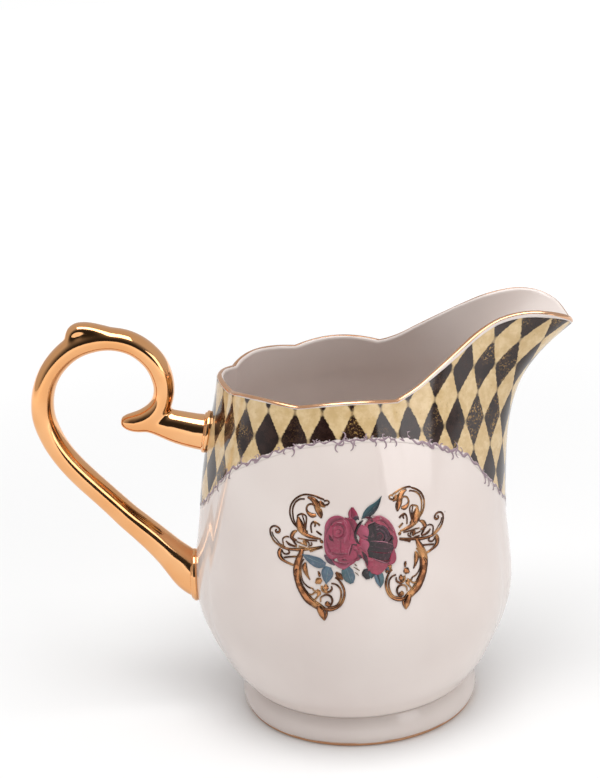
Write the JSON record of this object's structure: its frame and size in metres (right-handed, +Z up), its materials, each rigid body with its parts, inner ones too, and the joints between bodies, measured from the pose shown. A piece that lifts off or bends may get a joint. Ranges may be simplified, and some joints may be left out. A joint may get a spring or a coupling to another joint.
{
  "type": "cream jug",
  "caption": "Small porcelain cream jug with a fluted round body, a high pouring spout, a scrolled gilt handle, a diamond-patterned neck band and a rose and scroll print on each flank.",
  "frame": {"origin": "centre of the foot's resting face, on the axis of the round body", "axes": "+Z up, +X from the handle towards the pouring spout, +Y to the jug's left flank as seen from the handle; the XZ plane is the plane of symmetry"},
  "size_m": [0.1329, 0.08, 0.1022],
  "materials": {
    "porcelain": "gloss",
    "gilt": "mirror gold lustre",
    "diamond_print": "gloss",
    "rose_print": "gloss"
  },
  "bodies": {
    "root": {"jug_body": "porcelain", "foot_ring": "porcelain", "handle": "gilt", "upper_handle_collar": "gilt", "lower_handle_collar": "gilt", "rim_gilding": "gilt", "foot_gilding": "gilt", "diamond_band_transfer": "diamond_print", "near_rose_transfer": "rose_print", "far_rose_transfer": "rose_print"}
  },
  "joints": []
}
